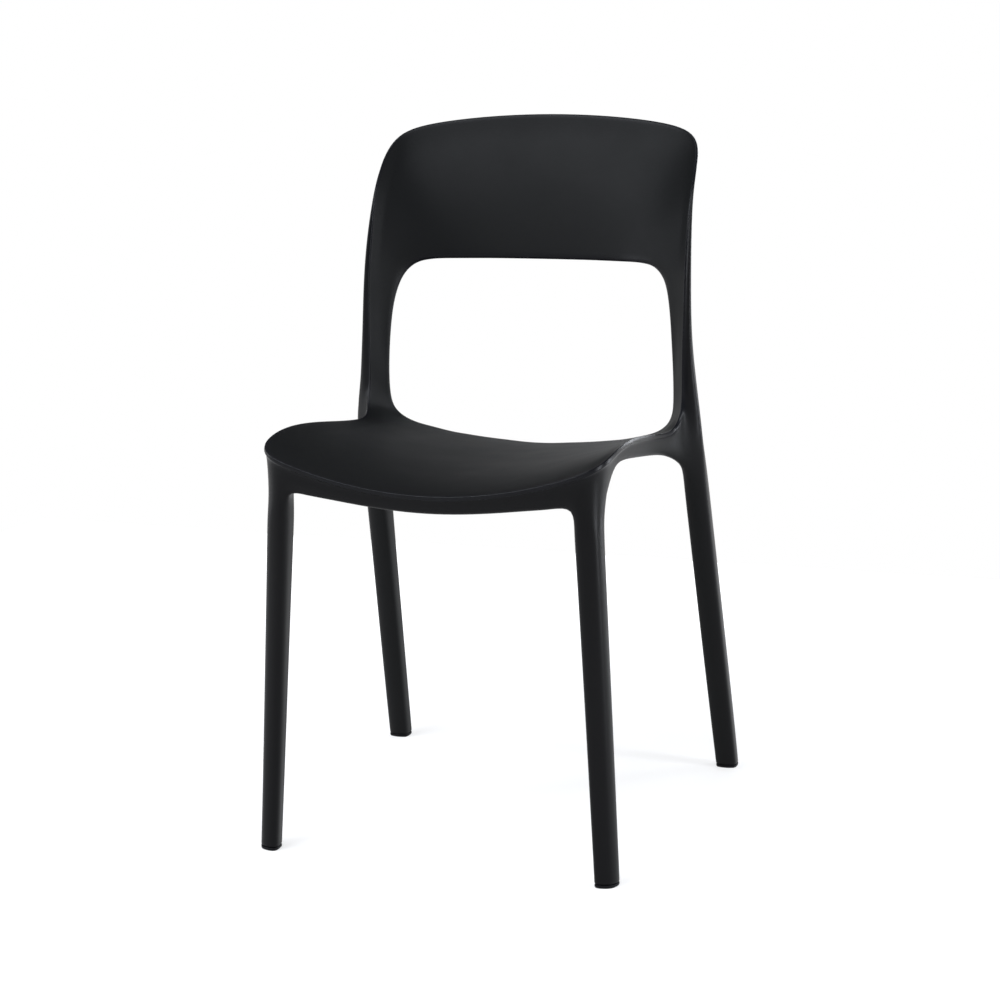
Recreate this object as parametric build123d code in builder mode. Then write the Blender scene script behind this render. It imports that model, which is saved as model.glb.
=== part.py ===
from build123d import *
import os
from math import atan2, degrees, hypot

# Overall sizes in millimetres: X across, Y from front to back, Z up from the floor.
overall_height = 815.0
overall_depth = 514.0
rear_foot_span = 444.0
front_foot_span = 392.4
seat_height = 467.0
seat_half_width = 190.0
back_half_width = 200.0

# Wall and member sizes.
skin = 5.0
lip_overhang = 4.0
seat_corner_radius = 20.0
apron_depth = 16.0
rail_width = 18.0
front_foot_size = 23.2
front_knee_size = 29.0
rear_foot_size = 26.0
rear_knee_size = 27.0
opening_radius = 42.0
back_corner_radius = 36.0

# Foot glides: sole, plug and the hollow leg that the plug goes into.
sole = 4.0
plug_length = 26.0
channel_radius = 5.8
plug_clearance = 0.1

front_y = -overall_depth / 2
back_rise = overall_height - seat_height
rear_x, rear_y = rear_foot_span / 2, overall_depth / 2 - rear_foot_size / 2
post_x, post_y = rear_x - 25.6, rear_y - 151

# Seat lines, front to rear: part of the depth, drop of the side lip, drop of the middle.
seat_lines = [
    (-0.02, 19, 54), (0.11, 2, 46.3), (0.25, 1, 43.6), (0.40, 7, 44),
    (0.57, 15, 45.5), (0.70, 19.5, 47.8), (0.83, 21, 52),
]

# Back lines, low to high: part of the rise, set-back of the middle, forward sweep of the sides, sharpness.
back_lines = [
    (0.30, 47, 62, 4.0), (0.50, 60, 70, 3.0), (0.67, 72, 66, 2.8),
    (0.84, 84, 45, 2.6), (1.05, 98, 28, 2.6),
]


def back_row(height):
    # Middle set-back, side sweep and sharpness of the back at one height.
    part = (height - seat_height) / back_rise
    rows = back_lines
    for a, b in zip(rows, rows[1:]):
        if part <= b[0]:
            break
    t = max(0.0, (part - a[0]) / (b[0] - a[0]))
    return [p + (q - p) * t for p, q in zip(a[1:], b[1:])]


def back_point(x, height, depth):
    # A point of the back at x, set in from its front face along the normal; also the normal's angle.
    middle, sweep, power = back_row(height)
    r = abs(x) / back_half_width
    slope = -sweep * power * r ** (power - 1) / back_half_width * (1 if x > 0 else -1)
    size = hypot(slope, 1)
    y = post_y + middle - sweep * r ** power
    return (x - slope / size * depth, y + depth / size), degrees(atan2(1, -slope))


# Seat skin before it is cut to outline, and the space above its underside for trimming the members below.
seat_blanks = []
for rise in (0, 80):
    with BuildPart() as seat_blank:
        for part, side, middle in seat_lines:
            half = seat_half_width + 40
            low = seat_height - middle
            edge = low + (middle - side) * (half / seat_half_width) ** 2
            with BuildSketch(Plane.XZ.offset(-front_y - part * overall_depth)):
                with BuildLine():
                    ThreePointArc((-half, edge + rise), (0, low + rise), (half, edge + rise))
                    Line((half, edge + rise), (half, edge - skin))
                    ThreePointArc((half, edge - skin), (0, low - skin), (-half, edge - skin))
                    Line((-half, edge - skin), (-half, edge + rise))
                make_face()
        loft()
    seat_blanks.append(seat_blank.part)
seat_skin, seat_space = seat_blanks

# Front legs: slim tapering legs, rounded most at the outer front corner, hollow from the foot up.
foot_x, foot_y = front_foot_span / 2, front_y + 27
knee_x, knee_y = foot_x - 21, front_y + lip_overhang - 0.2 + 0.48 * front_knee_size
corner_size = front_knee_size + 7
front_leg_rows = [
    (sole, foot_x, foot_y, front_foot_size),
    (0.43 * seat_height, foot_x - 10.7, foot_y - 4, (front_foot_size + front_knee_size) / 2 - 0.8),
    (0.81 * seat_height, knee_x, knee_y, 0.96 * front_knee_size),
    (1.04 * seat_height, foot_x - 23.6, front_y + lip_overhang - 1 + corner_size / 2, corner_size),
]
front_axis = Plane(
    origin=(foot_x, foot_y, 0.8 * sole),
    z_dir=(knee_x - foot_x, knee_y - foot_y, 0.81 * seat_height - sole / 2),
)
with BuildPart() as right_front_leg:
    for z, x, y, size in front_leg_rows:
        with BuildSketch(Plane.XY.offset(z)):
            with Locations((x, y)):
                Rectangle(size, size)
            fillet(sorted(vertices(), key=lambda v: v.X - v.Y)[-1:], 0.66 * size)
            fillet(sorted(vertices(), key=lambda v: v.X - v.Y)[:3], 0.2 * size)
    loft()
    with Locations(front_axis):
        Cylinder(channel_radius, 1.6 * seat_height, mode=Mode.SUBTRACT)
    add(seat_space, mode=Mode.SUBTRACT)

# Rear members: each leg runs up past the seat as a post that turns and thins into the back's rim.
rear_top = (rear_x - 19.6, rear_y - 136)
rear_leg_rows = [(sole, rear_x, rear_y, rear_foot_size, rear_foot_size, 0)]
for part, wide, deep, turn in [(0.43, 0.5, 28, 4), (0.77, 0, 31, 8), (0.93, -2, 34, 17)]:
    at = part * seat_height / 420
    rear_leg_rows.append((
        part * seat_height, rear_x + (rear_top[0] - rear_x) * at, rear_y + (rear_top[1] - rear_y) * at,
        rear_knee_size + wide, deep, turn,
    ))
post_rows = [rear_leg_rows[-1], (seat_height + 0.095 * back_rise, post_x, post_y, 21, 36, 26)]
upper_rows = [(0.27, 184, 15, 36), (0.38, 184, 12.5, 36), (0.50, 187, 10, 28), (0.63, 190, 7.5, 16)]
for part, mid, thick, long in upper_rows:
    level = seat_height + part * back_rise
    spot, turn = back_point(mid * back_half_width / 200, level, thick / 2)
    post_rows.append((level, spot[0], spot[1], thick, long, turn))
rear_axis = Plane(
    origin=(rear_x, rear_y, 0.8 * sole),
    z_dir=(rear_top[0] - rear_x, rear_top[1] - rear_y, 420 - sole / 2),
)
with BuildPart() as right_rear_leg:
    for z, x, y, thick, long, turn in rear_leg_rows:
        with BuildSketch(Plane.XY.offset(z)):
            with Locations(Location((x, y, 0), (0, 0, turn))):
                RectangleRounded(thick, long, 0.33 * min(thick, long))
    loft()
    with Locations(rear_axis):
        Cylinder(channel_radius, 1.72 * seat_height, mode=Mode.SUBTRACT)

# Back panel: a thin curved skin with an arched top and rounded corners, ears down onto the posts.
ear_z = seat_height + 0.31 * back_rise
opening_z = seat_height + 0.497 * back_rise
shoulder_z = overall_height - 20
with BuildSketch(Plane.XZ) as back_outline:
    with BuildLine():
        side_x = back_half_width + 3
        ThreePointArc((-side_x, shoulder_z), (0, overall_height), (side_x, shoulder_z))
        Polyline(
            (side_x, shoulder_z), (side_x, ear_z), (back_half_width - 26, ear_z),
            (back_half_width - 29, opening_z), (29 - back_half_width, opening_z),
            (26 - back_half_width, ear_z), (-side_x, ear_z), (-side_x, shoulder_z),
        )
    make_face()
    opening_round = min(opening_radius, 0.9 * (opening_z - ear_z))
    fillet([v for v in vertices() if abs(v.Y - opening_z) < 1], opening_round)
    fillet([v for v in vertices() if abs(v.Y - shoulder_z) < 1], back_corner_radius)
back_blanks = []
for near, far in ((0, skin), (-40, skin + 0.02)):
    with BuildPart() as back_blank:
        for part, *rest in back_lines:
            level = seat_height + part * back_rise
            spread = [k * back_half_width * 1.04 for k in (-1, -0.84, -0.64, -0.38, 0, 0.38, 0.64, 0.84, 1)]
            front = [back_point(x, level, near)[0] for x in spread]
            rear = [back_point(x, level, far)[0] for x in reversed(spread)]
            with BuildSketch(Plane.XY.offset(level)):
                with BuildLine():
                    Spline(*front)
                    Line(front[-1], rear[0])
                    Spline(*rear)
                    Line(rear[-1], front[0])
                make_face()
        loft()
        extrude(back_outline.sketch, amount=400, both=True, mode=Mode.INTERSECT)
    back_blanks.append(back_blank.part)
back_panel, back_space = back_blanks
with BuildPart() as backrest:
    add(back_panel)

# The post stands on the leg's top section; the back's ear sits on its shoulder.
with BuildPart() as right_back_post:
    for z, x, y, thick, long, turn in post_rows:
        with BuildSketch(Plane.XY.offset(z)):
            with Locations(Location((x, y, 0), (0, 0, turn))):
                RectangleRounded(thick, long, 0.33 * min(thick, long))
    loft()
    add(back_space, mode=Mode.SUBTRACT)

# Seat shell: the dished skin, cut to its plan outline and coped round the posts.
lip_x = seat_half_width + 4
with BuildSketch() as seat_outline:
    with BuildLine():
        rear_edge = [(seat_half_width - 12, post_y + 23), (0.77 * seat_half_width, post_y + 38)]
        rear_edge += [(0.57 * seat_half_width, post_y + 49), (0, post_y + 56)]
        Polyline(
            (-lip_x, front_y + 76), (-lip_x, front_y), (lip_x, front_y), (lip_x, front_y + 76),
        )
        for s in (1, -1):
            Spline(
                (s * lip_x, front_y + 76), (s * (seat_half_width - 1), post_y - 153),
                (s * (seat_half_width - 2), post_y - 93), (s * (seat_half_width + 2), post_y - 31),
            )
            Polyline(
                (s * (seat_half_width + 2), post_y - 31), (s * (post_x + 2.6), post_y + 5),
                (s * (seat_half_width - 12), post_y + 23),
            )
        Spline(*rear_edge, *[(-x, y) for x, y in reversed(rear_edge[:-1])])
    make_face()
    fillet([v for v in vertices() if abs(v.Y - front_y) < 1], seat_corner_radius)
with BuildPart() as seat_shell:
    add(seat_skin)
    extrude(seat_outline.sketch, amount=2 * seat_height, mode=Mode.INTERSECT)
    for member in (right_back_post, right_rear_leg):
        add(member.part, mode=Mode.SUBTRACT)
        mirror(member.part, about=Plane.YZ, mode=Mode.SUBTRACT)

# Front apron: the skirt under the lip, swelling into both legs.
apron_z = seat_height - 72
with BuildPart() as front_apron:
    with BuildSketch(Plane.XZ.offset(-front_y - lip_overhang)):
        with BuildLine():
            reach = knee_x - 0.5 * front_knee_size + 0.8
            half_line = [(reach - 1, apron_z - 4), (reach - 7, apron_z + 8), (reach - 22, apron_z + 11)]
            half_line += [(0.62 * reach, apron_z + 8), (0, apron_z)]
            Spline(*half_line, *[(-x, z) for x, z in reversed(half_line[:-1])])
            Polyline(
                (1 - reach, apron_z - 4), (-reach - 8, apron_z - 4), (-reach - 8, seat_height + 20),
                (reach + 8, seat_height + 20), (reach + 8, apron_z - 4), (reach - 1, apron_z - 4),
            )
        make_face()
    extrude(amount=-apron_depth)
    add(seat_space, mode=Mode.SUBTRACT)
    add(right_front_leg.part, mode=Mode.SUBTRACT)
    mirror(right_front_leg.part, about=Plane.YZ, mode=Mode.SUBTRACT)

# Side rails: the bar under each side lip, flaring out at the rear to meet the rear leg.
with BuildPart() as right_side_rail:
    with BuildSketch(Plane.XY.offset(seat_height - 110)):
        with BuildLine():
            outer = [
                (lip_x - lip_overhang, front_y + 30), (seat_half_width - 5, post_y - 153),
                (seat_half_width - 6, post_y - 93), (seat_half_width, post_y - 33),
                (rear_top[0] + 6, post_y + 17),
            ]
            inner = [(x - rail_width + 4 * (y > post_y), y) for x, y in reversed(outer)]
            Spline(*outer)
            Line(outer[-1], inner[0])
            Spline(*inner)
            Line(inner[-1], outer[0])
        make_face()
    extrude(amount=150)
    with BuildSketch(Plane.YZ):
        with BuildLine():
            under = [
                (front_y + 41, -66), (front_y + 47, -38), (front_y + 66, -22), (front_y + 106, -18.5),
                (post_y - 183, -23.5), (post_y - 123, -31.5), (post_y - 63, -39), (post_y - 25, -46),
                (post_y - 1, -58), (post_y + 13, -76),
            ]
            under = [(y, seat_height + z) for y, z in under]
            Spline(*under)
            Polyline(
                under[-1], (post_y + 17, under[-1][1]), (post_y + 17, seat_height + 30),
                (front_y + 24, seat_height + 30), (front_y + 24, under[0][1]), under[0],
            )
        make_face()
    extrude(amount=300, mode=Mode.INTERSECT)
    add(seat_space, mode=Mode.SUBTRACT)
    for member in (right_front_leg, right_rear_leg, right_back_post):
        add(member.part, mode=Mode.SUBTRACT)

# Foot glides: a sole the shape of the leg end and a plug up the hollow leg.
with BuildPart() as right_front_glide:
    with BuildSketch():
        with Locations((foot_x, foot_y)):
            Rectangle(front_foot_size, front_foot_size)
        fillet(sorted(vertices(), key=lambda v: v.X - v.Y)[-1:], 0.66 * front_foot_size)
        fillet(sorted(vertices(), key=lambda v: v.X - v.Y)[:3], 0.2 * front_foot_size)
    extrude(amount=sole)
    chamfer(faces().sort_by(Axis.Z)[0].edges(), 0.8)
    with Locations(front_axis):
        Cylinder(channel_radius - plug_clearance, plug_length, align=(Align.CENTER, Align.CENTER, Align.MIN))
with BuildPart() as right_rear_glide:
    with BuildSketch():
        with Locations((rear_x, rear_y)):
            RectangleRounded(rear_foot_size, rear_foot_size, 0.33 * rear_foot_size)
    extrude(amount=sole)
    chamfer(faces().sort_by(Axis.Z)[0].edges(), 0.8)
    with Locations(rear_axis):
        Cylinder(channel_radius - plug_clearance, plug_length, align=(Align.CENTER, Align.CENTER, Align.MIN))

# Left-hand pieces are mirror images across the middle plane.
pairs = {
    "side_rail": right_side_rail, "front_leg": right_front_leg, "rear_leg": right_rear_leg,
    "back_post": right_back_post, "front_glide": right_front_glide, "rear_glide": right_rear_glide,
}
os.makedirs("parts", exist_ok=True)
for name, piece in {"seat_shell": seat_shell, "front_apron": front_apron, "backrest": backrest}.items():
    piece.part.label = name
    export_step(piece.part, f"parts/{name}.step")
for name, piece in pairs.items():
    piece.part.label = "right_" + name
    export_step(piece.part, f"parts/right_{name}.step")
    with BuildPart() as left:
        mirror(piece.part, about=Plane.YZ)
    left.part.label = "left_" + name
    export_step(left.part, f"parts/left_{name}.step")
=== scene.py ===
import bpy, bmesh
from math import cos, sin, radians
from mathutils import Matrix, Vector


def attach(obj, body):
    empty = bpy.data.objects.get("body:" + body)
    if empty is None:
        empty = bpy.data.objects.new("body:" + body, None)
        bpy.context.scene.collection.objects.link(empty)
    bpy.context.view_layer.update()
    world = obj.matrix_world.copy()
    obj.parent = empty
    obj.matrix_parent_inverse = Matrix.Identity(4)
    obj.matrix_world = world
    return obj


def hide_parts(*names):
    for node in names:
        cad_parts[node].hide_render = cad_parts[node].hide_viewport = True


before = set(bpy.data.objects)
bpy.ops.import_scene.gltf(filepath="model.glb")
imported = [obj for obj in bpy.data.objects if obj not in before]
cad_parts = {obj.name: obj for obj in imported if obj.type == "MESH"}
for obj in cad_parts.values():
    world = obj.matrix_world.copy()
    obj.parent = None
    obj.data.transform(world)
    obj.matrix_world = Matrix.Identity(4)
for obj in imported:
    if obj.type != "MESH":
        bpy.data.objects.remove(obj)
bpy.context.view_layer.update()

# The moulding: seat, back, posts and legs of the chair in one piece of black polypropylene, injected into one
# tool with gas blown up the legs to hollow them. Nothing is fixed to it except the four foot glides.
# Its right half is shaped first, in millimetres, then mirrored and brought to metres.

# The skin is one band round the big opening. Its stations follow the rim from the middle of the front lip, round
# the front corner, along the side, up the post and over to the middle of the top edge. Its rows go from the rim
# to the opening.
rim = [
    (0, -257, 415), (40, -257, 416.7), (80, -257, 421.9), (112, -257, 428.6), (138, -257, 435.6),
    (159, -257, 442.3), (178, -255.5, 449.5), (192.5, -239, 458.6), (194.5, -216, 464.3), (195, -192, 468.2),
    (194.3, -150, 469.8), (191.5, -95, 466), (188.8, -40, 459.6), (188.3, 5, 455), (189.5, 35, 452.8),
    (191, 55, 453.3), (193.3, 68.5, 460.3), (195, 77, 474), (195.5, 80.5, 492), (195.1, 79, 520),
    (195.4, 78.3, 555), (196.1, 79.1, 592), (195.9, 81.8, 630), (195.5, 88.8, 668), (195.3, 98.6, 705),
    (195.7, 112, 735), (195, 131.7, 761), (190.5, 152.5, 782), (178.5, 165.5, 794.4), (155, 174.5, 802.2),
    (115, 182, 808.3), (62, 187, 813), (0, 188.5, 814.9),
]
opening = [
    (0, 149, 417), (18, 149, 417.3), (36, 148.5, 418.9), (52, 148, 420), (66, 147, 421.3),
    (76, 146.3, 422.4), (84, 145.6, 423.4), (91, 145, 424.3), (97, 144.2, 425.1), (103, 143.3, 425.9),
    (111, 141.8, 427.4), (122, 141, 429.6), (133, 138, 432.7), (144, 132.5, 436), (153, 126.5, 439.6),
    (161, 121, 444.2), (168, 116, 449.5), (173, 111.5, 457), (176.3, 108.5, 467), (177.3, 105, 484),
    (176.9, 102.3, 512), (174.9, 101, 547), (172, 102.5, 580), (167.9, 106.5, 602), (162.3, 112, 620),
    (153.5, 118, 632.3), (142, 124.5, 638.8), (126, 132, 640.2), (108, 140, 640.2), (88, 145.5, 640.2),
    (64, 149.5, 640.5), (33, 152, 640.5), (0, 153, 640.5),
]
stations, rows = len(rim) - 1, 8
seat_end = 15  # last station whose skin lies on the seat
post_foot = 17  # where the post leaves the seat and the rear leg goes down
back_start = 20  # first station whose skin lies on the back
post_fade = 24  # from here up the post fades into the rim of the back
post_top = 27  # last station that the post reaches

# Inner edge of the apron and the side rail under the seat, then how far across the skin the post reaches.
bar_edge = [
    (0, -241), (40, -241), (80, -241), (111, -240), (135, -237), (159, -229), (160.5, -226), (162.5, -222),
    (165, -216), (171.5, -193), (174, -150), (171.5, -95), (168.8, -40), (168.5, 5), (170, 37), (174, 62),
]
post_share = (0.42, 0.30, 0.28, 0.28, 0.30, 0.32, 0.34, 0.32, 0.26)
top_border = 24  # width of the same border round the top of the back
lip_width = 3.5
# Places of the rows between that border and the opening, and the widest strip left beside the opening.
skin_spread, post_spread = (0, 0.12, 0.32, 0.55, 0.78, 0.92), (0, 0.12, 0.3, 0.5, 0.68, 0.82)
opening_strip = 10

# Dish of the seat, front to rear: height at the sides and in the middle. Hollow of the back, low to high: set-back
# of the middle, forward sweep of the sides and how sharply they sweep.
seat_dish = [
    (-257, 454, 415), (-225, 460.5, 419.5), (-180, 465.5, 423), (-120, 466, 424.5), (-50, 460, 424),
    (35, 452, 422.5), (100, 448, 420.5), (150, 446, 416.5),
]
back_hollow = [
    (575, 147, 68, 3.2), (640, 153, 70, 2.7), (700, 160.5, 63, 2.5), (760, 172, 42, 2.4), (830, 192.5, 29, 2.4),
]
seat_side, back_side = 190, 200  # how far out the sides in those two tables are


def read_curve(table, at):
    # Smooth value of a table of (place, value, value...) between its rows.
    k = max([0] + [n for n in range(len(table) - 1) if table[n][0] <= at])
    a, b = table[k], table[k + 1]
    before, after = table[max(k - 1, 0)], table[min(k + 2, len(table) - 1)]
    w = b[0] - a[0]
    t = (at - a[0]) / w
    read = []
    for n in range(1, len(a)):
        leave = w * (b[n] - before[n]) / (b[0] - before[0])
        arrive = w * (after[n] - a[n]) / (after[0] - a[0])
        read.append(
            (2 * t**3 - 3 * t**2 + 1) * a[n] + (t**3 - 2 * t**2 + t) * leave
            + (3 * t**2 - 2 * t**3) * b[n] + (t**3 - t**2) * arrive
        )
    return read


def on_seat(p):
    side, middle = read_curve(seat_dish, p.y)
    return Vector((p.x, p.y, middle + (side - middle) * (abs(p.x) / seat_side) ** 2))


def on_back(p):
    middle, sweep, power = read_curve(back_hollow, p.z)
    return Vector((p.x, middle - sweep * (abs(p.x) / back_side) ** power, p.z))


def skin_point(station, row):
    # Front of the skin at one station and row.
    edge, hole = Vector(rim[station]), Vector(opening[station])
    if station <= seat_end:
        bar = on_seat(Vector((*bar_edge[station], 0)))
    elif station <= post_fade:
        bar = edge.lerp(hole, post_share[station - seat_end - 1])
    else:
        bar = edge.lerp(hole, top_border / (hole - edge).length)
    if row == 0:
        return edge
    if row == 1:
        return edge + (bar - edge).normalized() * lip_width
    if row == rows:
        return hole
    if post_foot <= station <= post_fade:
        part = post_spread[row - 2]
    elif row == rows - 1:
        part = max(skin_spread[row - 2], 1 - opening_strip / (hole - bar).length)
    else:
        part = skin_spread[row - 2]
    lay = on_seat if station <= seat_end else on_back if station >= back_start else Vector
    return lay(bar.lerp(hole, part)) + (bar - lay(bar)).lerp(hole - lay(hole), part)


moulding = bmesh.new()
bmesh.ops.create_grid(moulding, x_segments=stations, y_segments=rows, size=1)
station_of, row_of, layer_of = (moulding.verts.layers.int.new(n) for n in ("station", "row", "layer"))
for v in moulding.verts:
    v[station_of], v[row_of] = round((v.co.x + 1) * stations / 2), round((v.co.y + 1) * rows / 2)
for v in moulding.verts:
    v.co = skin_point(v[station_of], v[row_of])
moulding.normal_update()
front_skin = {(v[station_of], v[row_of]): v for v in moulding.verts}
inwards = {}
for (station, row), v in front_skin.items():
    sitter = (0, -0.5, 1) if station <= seat_end else (-0.3, -1, 0)
    inward = -v.normal if v.normal.dot(sitter) > 0 else v.normal.copy()
    if station in (0, stations):
        inward.x = 0
        inward.normalize()
    inwards[station, row] = inward

# The edge of the opening is rolled back along the posts, which draws a light line beside it. The table says, by
# station, how fully the post is shaped as a bar.
post_bar = {17: 0.3, 18: 0.7, 19: 0.95, 20: 1, 21: 1, 22: 1, 23: 1, 24: 0.9, 25: 0.6, 26: 0.3}
rolled_back = 2
for (station, row), v in front_skin.items():
    if row == rows:
        v.co += inwards[station, row] * post_bar.get(station, 0) * rolled_back

# The wall, of one thickness all over. Layer 0 is its front and layer 1 its rear.
wall_thickness = 5
wall = bmesh.ops.extrude_face_region(moulding, geom=list(moulding.faces))["geom"]
rear_faces = [g for g in wall if isinstance(g, bmesh.types.BMFace)]
rear_skin = {v for f in rear_faces for v in f.verts}
for v in rear_skin:
    at = (v[station_of], v[row_of])
    v[layer_of] = 1
    v.co = front_skin[at].co + inwards[at] * wall_thickness

# Up the post the lip's shadow line opens into a soft groove, with the round bar of the leg standing outside it.
post_outside = {
    18: (213.6, 86.5), 19: (209.7, 83.5), 20: (206.4, 81.3), 21: (204.6, 81), 22: (203.5, 83.6), 23: (201.8, 89.6),
    24: (200, 100.3), 25: (198.6, 113.4), 26: (196.4, 132.4),
}
groove_in, groove_deep = 0.8, 1.8
crown_base, crown_share = 0.3, 0.2  # height of the bar's crown: a base, and a share of its width on top
for v in rear_skin:
    station, row = v[station_of], v[row_of]
    if station in post_bar and row < 2:
        edge = Vector(rim[station])
        outside = Vector((*post_outside[max(station, min(post_outside))], edge.z))
        across = outside - edge
        forward = Vector((across.y, -across.x, 0)).normalized()
        if row == 0:
            bar = edge + across.normalized() * groove_in - forward * groove_deep
        else:
            bar = edge.lerp(outside, 0.5) + forward * (crown_base + crown_share * across.length)
        v.co = v.co.lerp(bar, post_bar[station])

# The apron, rails and posts stand out of the wall's rear, one lip's width in from the rim, as layer 2. The tables
# give the apron's lower edge, then each bar's lower edge outside and inside, and then how far the post goes back.
apron_face, apron_back = -253.3, -241
apron_foot = [(0, 394), (40, 395.5), (80, 399.5), (112, 403.7), (140, 406.5)]
bar_foot = {
    5: ((160.5, -253, 404.5), (161, -231, 419)), 6: ((176.5, -251, 402), (162, -227, 402)),
    7: ((188.5, -238, 404), (164, -223, 405)), 8: ((190.5, -217, 416), (166, -217, 416)),
    9: ((190.8, -193, 444), (172.5, -193, 443)), 10: ((190, -150, 446.5), (174, -150, 445.5)),
    11: ((187.5, -95, 441), (171.5, -95, 440)), 12: ((184.8, -40, 434.5), (168.8, -40, 433.5)),
    13: ((184.5, 5, 429.5), (168.5, 5, 428.5)), 14: ((187, 36, 425.8), (171, 38, 424.8)),
    15: ((193, 57, 421), (177.5, 61, 420)), 16: ((200.5, 81, 411), (188.7, 84, 407.5)),
}
leg_top_front, leg_top_back = Vector((220, 87, 440)), Vector((209, 125, 442))
post_depth = {
    18: (21.5, 5.5), 19: (19.5, 4.5), 20: (15, 2.5), 21: (11.3, 1), 22: (8.2, 0), 23: (6.8, 0), 24: (6.2, 0),
    25: (5.8, 0), 26: (5.5, 0), 27: (5.2, 0),
}
bar_tuck, bar_least, bar_share = 1.5, 6, 0.5  # the bar's outer side: its lean inwards, and how far it goes back
bar_rise = 4  # stations that its outer side takes to come free of the leg


def member_point(station, row):
    # Far side of the apron, rail or post.
    if station < len(apron_foot):
        x, z = apron_foot[station]
        return Vector((x, apron_face if row == 1 else apron_back, z))
    if station in bar_foot:
        return Vector(bar_foot[station][row - 1])
    if station == post_foot:
        return leg_top_front.lerp(leg_top_back, (row - 1) / (rows - 1))
    deep, back = post_depth[station]
    behind = front_skin[station, row].co + inwards[station, row] * deep + Vector((0, back, 0))
    if station not in post_outside or row > 2:
        return behind
    outside = Vector((*post_outside[station], rim[station][2]))
    if row == 1:
        return behind.lerp(outside, 1 if station < post_fade else post_bar[station])
    bar_side = outside + Vector((-bar_tuck, max(bar_least, bar_share * deep), 0))
    return behind.lerp(bar_side, min(1, (station - post_foot) / bar_rise) * post_bar[station])


def spot(face):
    return [(v[station_of], v[row_of]) for v in face.verts]


def draw_out(faces):
    # Pulls faces out on new walls and returns the moved faces.
    drawn = bmesh.ops.extrude_face_region(moulding, geom=faces)["geom"]
    bmesh.ops.delete(moulding, geom=[f for f in faces if f.is_valid], context="FACES")
    return [g for g in drawn if isinstance(g, bmesh.types.BMFace)]


members = []
for f in rear_faces:
    at_stations, at_rows = zip(*spot(f))
    on_bar = max(at_rows) <= 2 or min(at_stations) >= post_foot
    if on_bar and min(at_rows) >= 1 and max(at_stations) <= post_top:
        members.append(f)
member_faces = draw_out(members)
for v in {v for f in member_faces for v in f.verts}:
    v[layer_of] = 2
    v.co = member_point(v[station_of], v[row_of])

# Front legs: drawn down from the corner of the apron as layer 3, with a wide rounding on the outer front corner.
# A ring has its height, the leg's middle, its size, and how far its section is skewed.
front_section = {
    (5, 1): (-0.59, -0.62), (6, 1): (0.19, -0.46), (7, 1): (0.46, -0.19), (8, 1): (0.62, 0.59),
    (8, 2): (-0.19, 0.48), (7, 2): (-0.28, 0.50), (6, 2): (-0.50, 0.30), (5, 2): (-0.48, 0.19),
}
front_rings = [
    (386, 175.2, -236.3, 28.4, 0.09), (350, 177.2, -235.2, 27.6, 0.09), (200, 185.6, -232.4, 25.5, 0.05),
    (80, 192, -230.5, 24.1, 0.02), (12, 195.8, -230, 23.4, 0), (5.2, 196.1, -230, 23.3, 0),
    (4.2, 196.2, -230, 23.0, 0),
]
leg_end = [f for f in member_faces if set(spot(f)) <= set(front_section)]
for z, x, y, size, skew in front_rings:
    leg_end = draw_out(leg_end)
    for v in {v for f in leg_end for v in f.verts}:
        out, back = front_section[v[station_of], v[row_of]]
        v[layer_of] = 3
        v.co = (x + (out - skew * back) * size, y + back * size, z)

# Rear legs: the post carried on down past the seat, an oblong bar with rounded corners. The angles, round the bar
# from its outer side, are given by layer, station and row. A ring has its height, the leg's middle, its width and
# depth, and its turn.
rear_angles = {
    (2, 16, 2): 232, (2, 16, 1): 270, (2, 17, 1): 315, (2, 17, 2): 345, (2, 17, 3): 0, (2, 17, 4): 12,
    (2, 17, 5): 24, (2, 17, 6): 36, (2, 17, 7): 48, (2, 17, 8): 62, (1, 17, 8): 118, (1, 17, 7): 132,
    (1, 17, 6): 144, (1, 17, 5): 156, (1, 17, 4): 168, (1, 17, 3): 180, (1, 17, 2): 195, (1, 16, 2): 212,
}
rear_rings = [
    (391, 203.8, 117.5, 27, 34.4, 7), (345, 206, 132.3, 26.7, 29.6, 4.5), (200, 212.7, 179.2, 26.7, 27.3, 0),
    (80, 218.3, 218.1, 26.2, 26.4, -1), (12, 221.3, 240, 25.5, 25.8, 0), (5.2, 221.6, 242.2, 25.2, 25.6, 0),
    (4.2, 221.7, 242.5, 24.9, 25.3, 0),
]
half_bar, bar_squareness = 0.53, 0.6


def rear_section(angle):
    # Point on the outline of a bar one unit wide and deep.
    c, s = cos(radians(angle)), sin(radians(angle))
    return [half_bar * abs(n) ** bar_squareness * (1 if n > 0 else -1) for n in (c, s)]


leg_end = []
for f in moulding.faces:
    at = {(v[layer_of], v[station_of], v[row_of]) for v in f.verts}
    if len(at) == 4 and at <= set(rear_angles):
        leg_end.append(f)
for z, x, y, wide, deep, turn in rear_rings:
    leg_end = draw_out(leg_end)
    c, s = cos(radians(turn)), sin(radians(turn))
    for v in {v for f in leg_end for v in f.verts}:
        out, back = rear_section(rear_angles[v[layer_of], v[station_of], v[row_of]])
        v.co = (x + out * wide * c - back * deep * s, y + out * wide * s + back * deep * c, z)

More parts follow.
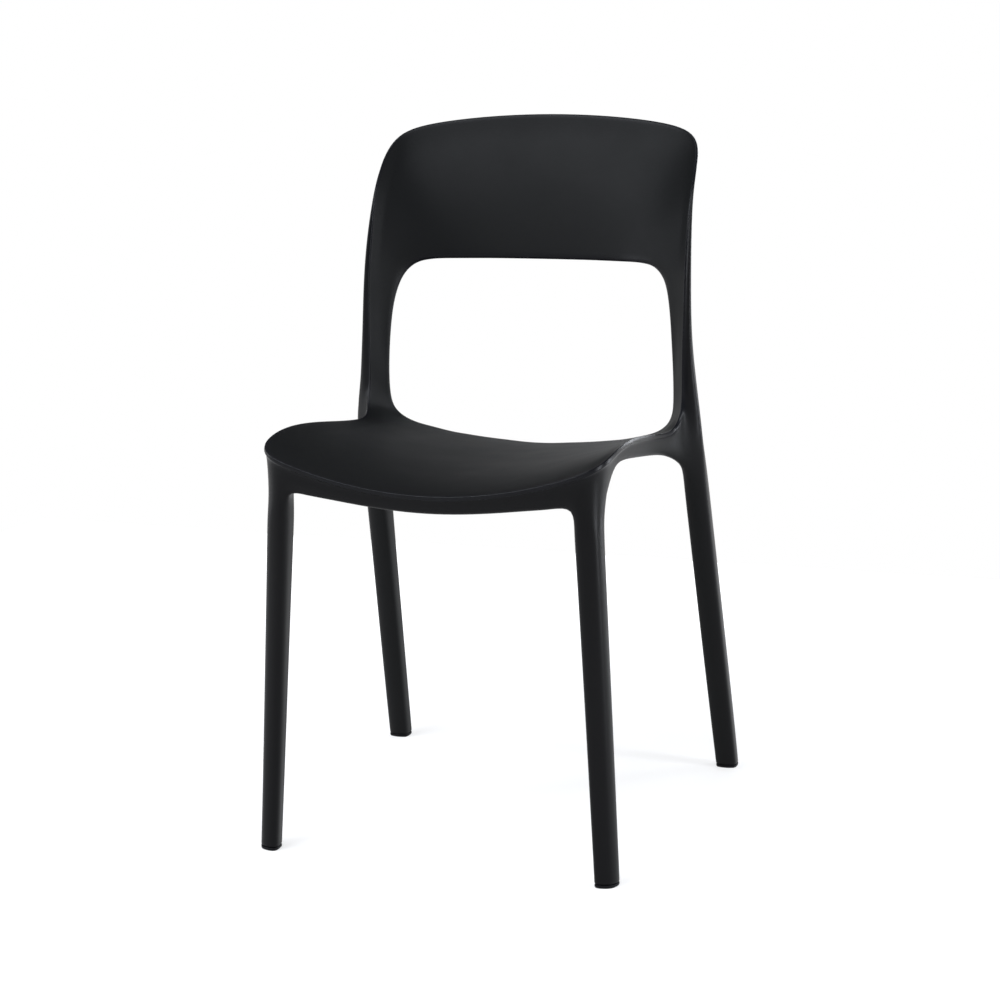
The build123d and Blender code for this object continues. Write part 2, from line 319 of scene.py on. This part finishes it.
# The other half, joined along the middle.
on_middle, join = 0.01, 0.05
mm = 0.001
middle = [f for f in moulding.faces if all(abs(v.co.x) < on_middle for v in f.verts)]
bmesh.ops.delete(moulding, geom=middle, context="FACES")
right_half = moulding.verts[:] + moulding.edges[:] + moulding.faces[:]
bmesh.ops.mirror(moulding, geom=right_half, axis="X", merge_dist=join)
bmesh.ops.remove_doubles(moulding, verts=[v for v in moulding.verts if abs(v.co.x) < 2 * join], dist=join)
bmesh.ops.recalc_face_normals(moulding, faces=moulding.faces[:])
bmesh.ops.scale(moulding, vec=(mm, mm, mm), verts=moulding.verts[:])
for f in moulding.faces:
    f.smooth = True

# Where the tool was polished: legs, posts, apron and lips. The rails keep the grain of the seat.
# The same mark also paints these parts a darker black as painted shade, and leaves the grained skin a lighter black
# as painted light.
polish_and_painted_shade, lip = moulding.verts.layers.float.new("polish_and_painted_shade"), moulding.verts.layers.float.new("lip")
rail_stations = range(9, 17)
for v in moulding.verts:
    layer, station, row = v[layer_of], v[station_of], v[row_of]
    edge_of_skin = row in (0, rows) and layer < 2
    # The lip mark carries rub wear and a painted sheen along the edges of the skin.
    v[lip] = 1 if edge_of_skin else 0
    if station in rail_stations and row in (1, 2) and layer in (1, 2):
        v[polish_and_painted_shade] = 0
    elif layer >= 2 or row == 0:
        v[polish_and_painted_shade] = 1
    elif edge_of_skin or layer == 1 and row == 1:
        v[polish_and_painted_shade] = 0.8
# The lip is crisp round the seat, more so on top than below.
crisp = moulding.edges.layers.float.new("crease_edge")
crisp_by_layer = {(0, 0): 0.5, (1, 1): 0.3}
for e in moulding.edges:
    if all(v[row_of] == 0 and v[station_of] <= post_foot for v in e.verts):
        e[crisp] = crisp_by_layer.get(tuple(v[layer_of] for v in e.verts), 0)
chair_mesh = bpy.data.meshes.new("chair_moulding")
moulding.to_mesh(chair_mesh)
moulding.free()
chair = bpy.data.objects.new("chair_moulding", chair_mesh)
bpy.context.collection.objects.link(chair)
soften = chair.modifiers.new("soften", "SUBSURF")
soften.levels = soften.render_levels = 2


def add_node(tree, kind, settings=None, **inputs):
    # Adds a node. An input goes by its name, or by _ and its number, and takes a value or a socket to link.
    node = tree.nodes.new(kind)
    for name, value in (settings or {}).items():
        setattr(node, name, value)
    for name, value in inputs.items():
        name = name.replace("_", " ").strip()
        if name.isdigit():
            socket = node.inputs[int(name)]
        else:
            socket = next(n for n in node.inputs if n.name == name and n.enabled)
        if isinstance(value, bpy.types.NodeSocket):
            tree.links.new(value, socket)
        else:
            socket.default_value = value
    return node


def linear(code):
    channels = [int(code[n:n + 2], 16) / 255 for n in (1, 3, 5)]
    return tuple(c / 12.92 if c <= 0.04045 else ((c + 0.055) / 1.055) ** 2.4 for c in channels) + (1,)


# Injection-moulded polypropylene, black all through. The tool is spark-eroded over the seat, back and rails, which
# leaves a fine even grain that scatters the light to a dull satin. Legs, posts, apron and lips came off smoother
# steel and carry softer, longer highlights. They look blacker for their smoothness, and their black is also painted
# darker as painted shade; the grained black is painted lighter as painted light, and rubbed lip patches carry a
# painted sheen.
satin_black_and_painted_light, smooth_black_and_painted_shade, painted_lip_sheen_black = linear("#0b0c0d"), linear("#09090b"), linear("#15161a")
satin_roughness, smooth_roughness = 0.46, 0.31
grain_size = 0.0012  # metres; the real grain is about 0.2 mm, drawn this coarse so that it shows at all
grain_depth = 0.00008
cooling_size = 0.07  # slow change of sheen where the melt froze against the tool
# The rubbed patches also carry a painted sheen along the lips.
rub_size = 0.025  # patches along the lips, rubbed by hands and by stacking
multiply, multiply_add, colours = {"operation": "MULTIPLY"}, {"operation": "MULTIPLY_ADD"}, {"data_type": "RGBA"}
polypropylene = bpy.data.materials.new("spark_eroded_black_polypropylene")
polypropylene.use_nodes = True
tree = polypropylene.node_tree
tree.nodes.clear()
place = add_node(tree, "ShaderNodeTexCoord").outputs["Object"]
smooth_and_painted_shade_here = add_node(tree, "ShaderNodeAttribute", {"attribute_name": "polish_and_painted_shade"}).outputs["Fac"]
lip_here = add_node(tree, "ShaderNodeAttribute", {"attribute_name": "lip"}).outputs["Fac"]
grain = add_node(tree, "ShaderNodeTexNoise", Vector=place, Scale=1 / grain_size, Detail=3, Roughness=0.6)
cooling = add_node(tree, "ShaderNodeTexNoise", Vector=place, Scale=1 / cooling_size, Detail=2).outputs["Fac"]
rub = add_node(tree, "ShaderNodeTexNoise", Vector=place, Scale=1 / rub_size, Detail=3).outputs["Fac"]
# Rubbed patches along the lips: wear lowers the roughness there, and the black is lightened there as a painted
# sheen.
rub_wear_and_painted_sheen = add_node(tree, "ShaderNodeMath", multiply, _0=lip_here, _1=rub).outputs["Value"]
gloss = add_node(tree, "ShaderNodeMapRange", Value=smooth_and_painted_shade_here, _3=satin_roughness, _4=smooth_roughness)
gloss = add_node(tree, "ShaderNodeMath", multiply_add, _0=cooling, _1=0.1, _2=gloss.outputs["Result"])
gloss = add_node(tree, "ShaderNodeMath", multiply_add, _0=rub_wear_and_painted_sheen, _1=-0.14, _2=gloss.outputs["Value"])
# Painted light and shade: the grained black is lighter and the polished black darker.
black = add_node(tree, "ShaderNodeMix", colours, Factor=smooth_and_painted_shade_here, A=satin_black_and_painted_light, B=smooth_black_and_painted_shade)
black = add_node(tree, "ShaderNodeMix", colours, Factor=rub_wear_and_painted_sheen, A=black.outputs[2], B=painted_lip_sheen_black)
grain_here = add_node(tree, "ShaderNodeMapRange", Value=smooth_and_painted_shade_here, _3=0.5, _4=0.18).outputs["Result"]
bump = add_node(tree, "ShaderNodeBump", Strength=grain_here, Distance=grain_depth, Height=grain.outputs["Fac"])
plastic = add_node(
    tree, "ShaderNodeBsdfPrincipled", Base_Color=black.outputs[2], Roughness=gloss.outputs["Value"], IOR=1.49,
    Specular_IOR_Level=0.12, Normal=bump.outputs["Normal"],
)
add_node(tree, "ShaderNodeOutputMaterial", Surface=plastic.outputs["BSDF"])
chair_mesh.materials.append(polypropylene)
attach(chair, "root")
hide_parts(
    "seat_shell", "front_apron", "backrest", "left_side_rail", "right_side_rail", "left_front_leg",
    "right_front_leg", "left_rear_leg", "right_rear_leg", "left_back_post", "right_back_post",
)

# Foot glides: four caps of soft polyethylene that keep the leg ends off the floor and close the gas channels.
# Each is moulded to the outline of its leg end and held by a plug pushed up the hollow leg, with a fine gap left
# round the joint. Only the sole shows, so the plug is left to the CAD part.
sole_rings = [(4.05, 0.3), (3.6, 0), (1.1, 0), (0.25, 0.6), (0, 2.4)]  # height of each ring, and how far in it is
front_outline = list(front_section.values())
rear_outline = [rear_section(angle) for angle in sorted(rear_angles.values())]

# Moulded polyethylene is duller and greyer than the leg, and its underside is scratched by the floor.
glide_black, scratched_black = linear("#0c0c0f"), linear("#2a2a2d")
scratch_size = 0.0009  # metres; real scratches are finer, drawn so that they show from below
scratch_depth = 0.00008
scratch_turn, scratch_stretch = radians(25), 0.08
polyethylene = bpy.data.materials.new("moulded_black_polyethylene")
polyethylene.use_nodes = True
tree = polyethylene.node_tree
tree.nodes.clear()
place = add_node(tree, "ShaderNodeTexCoord").outputs["Object"]
height = add_node(tree, "ShaderNodeSeparateXYZ", Vector=place).outputs["Z"]
underside = add_node(tree, "ShaderNodeMapRange", Value=height, _1=0.0002, _2=0.001, _3=1.0, _4=0.0)
drawn = add_node(
    tree, "ShaderNodeMapping", Vector=place, Rotation=(0, 0, scratch_turn), Scale=(1, scratch_stretch, 1),
).outputs["Vector"]
scratch = add_node(tree, "ShaderNodeTexNoise", Vector=drawn, Scale=1 / scratch_size, Detail=2).outputs["Fac"]
scratched = add_node(tree, "ShaderNodeMath", multiply, _0=underside.outputs["Result"], _1=scratch).outputs["Value"]
grey = add_node(tree, "ShaderNodeMix", colours, Factor=scratched, A=glide_black, B=scratched_black)
dull = add_node(tree, "ShaderNodeMapRange", Value=scratch, _3=0.5, _4=0.66).outputs["Result"]
bump = add_node(tree, "ShaderNodeBump", Strength=0.3, Distance=scratch_depth, Height=scratch)
soft = add_node(
    tree, "ShaderNodeBsdfPrincipled", Base_Color=grey.outputs[2], Roughness=dull, IOR=1.51, Specular_IOR_Level=0.12,
    Normal=bump.outputs["Normal"],
)
add_node(tree, "ShaderNodeOutputMaterial", Surface=soft.outputs["BSDF"])

for end, outline, x, y, wide, deep in (
    ("front", front_outline, 196.2, -230, 23.2, 23.2), ("rear", rear_outline, 221.7, 242.5, 25, 25.6),
):
    for side, hand in ((-1, "left"), (1, "right")):
        sole = bmesh.new()
        bmesh.ops.create_circle(sole, cap_ends=True, segments=len(outline), radius=1)
        corners = sole.faces[:][0].verts[:]
        for n, (up, inset) in enumerate(sole_rings):
            if n:
                outer_edges = [e for e in sole.edges if all(c in corners for c in e.verts)]
                drawn_down = bmesh.ops.extrude_edge_only(sole, edges=outer_edges)["geom"]
                fresh = [g for g in drawn_down if isinstance(g, bmesh.types.BMVert)]
                corners = [min(fresh, key=lambda v: (v.co - c.co).length) for c in corners]
            for corner, (out, back) in zip(corners, outline):
                corner.co = (side * (x + out * (wide - 2 * inset)), y + back * (deep - 2 * inset), up)
        bmesh.ops.contextual_create(sole, geom=corners)
        bmesh.ops.recalc_face_normals(sole, faces=sole.faces[:])
        bmesh.ops.scale(sole, vec=(mm, mm, mm), verts=sole.verts[:])
        for f in sole.faces:
            f.smooth = True
        sole_mesh = bpy.data.meshes.new(f"{hand}_{end}_sole")
        sole.to_mesh(sole_mesh)
        sole.free()
        glide = bpy.data.objects.new(f"{hand}_{end}_sole", sole_mesh)
        bpy.context.collection.objects.link(glide)
        soften = glide.modifiers.new("soften", "SUBSURF")
        soften.levels = soften.render_levels = 2
        sole_mesh.materials.append(polyethylene)
        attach(glide, "root")
        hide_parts(f"{hand}_{end}_glide")

# The studio's floor and backdrop: a sheet of plain pale paper that takes the chair's shadow, in front of a white
# backdrop. The camera, reflections and see-through rays all see the paper glow towards white, more so further off,
# so that it runs into the backdrop without an edge.
floor_reach = 1.5
floor_mesh = bmesh.new()
bmesh.ops.create_grid(floor_mesh, x_segments=1, y_segments=1, size=floor_reach)
floor_data = bpy.data.meshes.new("studio_floor")
floor_mesh.to_mesh(floor_data)
floor_mesh.free()
floor = bpy.data.objects.new("studio_floor", floor_data)
bpy.context.collection.objects.link(floor)
paper = bpy.data.materials.new("white_paper")
backdrop = bpy.data.worlds.new("studio")
white, black_light, paper_grey = linear("#ffffff"), linear("#000000"), linear("#b0b0b0")
larger, soft_step = {"operation": "MAXIMUM"}, {"interpolation_type": "SMOOTHSTEP"}
seen_on = {}
for sheet in (paper, backdrop):
    sheet.use_nodes = True
    tree = sheet.node_tree
    tree.nodes.clear()
    rays = add_node(tree, "ShaderNodeLightPath").outputs
    seen = add_node(tree, "ShaderNodeMath", larger, _0=rays["Is Camera Ray"], _1=rays["Is Glossy Ray"])
    seen = add_node(tree, "ShaderNodeMath", larger, _0=seen.outputs["Value"], _1=rays["Is Transmission Ray"])
    seen_on[sheet.name] = seen.outputs["Value"]

tree = paper.node_tree
place = add_node(tree, "ShaderNodeTexCoord").outputs["Object"]
away = add_node(tree, "ShaderNodeVectorMath", {"operation": "LENGTH"}, _0=place).outputs["Value"]
level = add_node(tree, "ShaderNodeMapRange", soft_step, Value=away, _1=0.4, _2=floor_reach, _3=0.6, _4=0.95)
glow = add_node(tree, "ShaderNodeEmission", Color=white, Strength=level.outputs["Result"]).outputs["Emission"]
dark = add_node(tree, "ShaderNodeEmission", Color=black_light, Strength=0).outputs["Emission"]
glow = add_node(tree, "ShaderNodeMixShader", Fac=seen_on[paper.name], _1=dark, _2=glow).outputs["Shader"]
matt = add_node(tree, "ShaderNodeBsdfDiffuse", Color=paper_grey).outputs["BSDF"]
both = add_node(tree, "ShaderNodeAddShader", _0=glow, _1=matt)
add_node(tree, "ShaderNodeOutputMaterial", Surface=both.outputs["Shader"])
floor_data.materials.append(paper)

# The backdrop is white up to about 3 degrees above level and darkens to a grey ceiling over that, the same for the
# camera and for reflections. All other rays get an even fill light from it.
white_up_to, ceiling_from, ceiling_grey = 0.06, 0.22, 0.12
fill_light = 0.3
tree = backdrop.node_tree
way = add_node(tree, "ShaderNodeTexCoord").outputs["Generated"]
up = add_node(tree, "ShaderNodeSeparateXYZ", Vector=way).outputs["Z"]
fall = add_node(
    tree, "ShaderNodeMapRange", soft_step, Value=up, _1=white_up_to, _2=ceiling_from, _3=1.0, _4=ceiling_grey,
).outputs["Result"]
strength = add_node(tree, "ShaderNodeMix", {"data_type": "FLOAT"}, _0=seen_on[backdrop.name], _2=fill_light, _3=fall)
sky = add_node(tree, "ShaderNodeBackground", Color=white, Strength=strength.outputs["Result"])
add_node(tree, "ShaderNodeOutputWorld", Surface=sky.outputs["Background"])
bpy.context.scene.world = backdrop

# Eight soft lamps round the chair: the softboxes light the seat and back from the front, above and behind, and the
# tall strips on both sides draw the long highlights down the legs and posts. Each has its place, what it points at,
# its size in metres and its power in watts.
lamp_white = linear("#f4f8ff")[:3]
for name, where, aim, size, power in (
    ("front_softbox", (-1.2, -2.0, 2.4), (0, 0.1, 0.6), (1.4, 1.2), 60),
    ("middle_softbox", (0.0, -1.8, 2.9), (0, 0.1, 0.7), (1.2, 1.0), 30),
    ("top_softbox", (-0.2, 0.3, 3.0), (0, 0.1, 0.4), (1.6, 1.6), 15),
    ("rear_softbox", (0.2, 2.6, 0.9), (0, 0.1, 0.45), (1.4, 0.5), 14),
    ("right_strip", (2.4, -0.3, 0.9), (0, 0, 0.5), (0.4, 1.8), 45),
    ("rear_strip", (1.9, 1.5, 0.7), (0.1, 0, 0.4), (0.4, 1.3), 22),
    ("left_strip", (-2.3, -1.0, 1.2), (0, 0, 0.5), (0.8, 1.2), 20),
    ("side_strip", (-2.4, -0.2, 0.9), (0, 0, 0.5), (0.6, 1.8), 8),
):
    lamp = bpy.data.lights.new(name, "AREA")
    lamp.shape, lamp.size, lamp.size_y, lamp.energy = "RECTANGLE", *size, power
    lamp.color = lamp_white
    light = bpy.data.objects.new(name, lamp)
    light.location = where
    light.rotation_euler = (Vector(aim) - Vector(where)).to_track_quat("-Z", "Y").to_euler()
    bpy.context.collection.objects.link(light)

# The camera stands where the photograph was taken from: in front of the chair, to its right, and about as high as
# the top of its back. Its place and lens were worked out from mirrored pairs of points in the photograph.
camera_data = bpy.data.cameras.new("camera")
camera_data.lens, camera_data.sensor_width = 77.4, 36
camera = bpy.data.objects.new("camera", camera_data)
camera.location = (0.7831, -2.3438, 0.7985)
looks_at = Vector((0.0109, -0.036, 0.376))
camera.rotation_euler = (looks_at - camera.location).to_track_quat("-Z", "Y").to_euler()
bpy.context.collection.objects.link(camera)
bpy.context.scene.camera = camera
bpy.context.scene.view_settings.view_transform = "Standard"
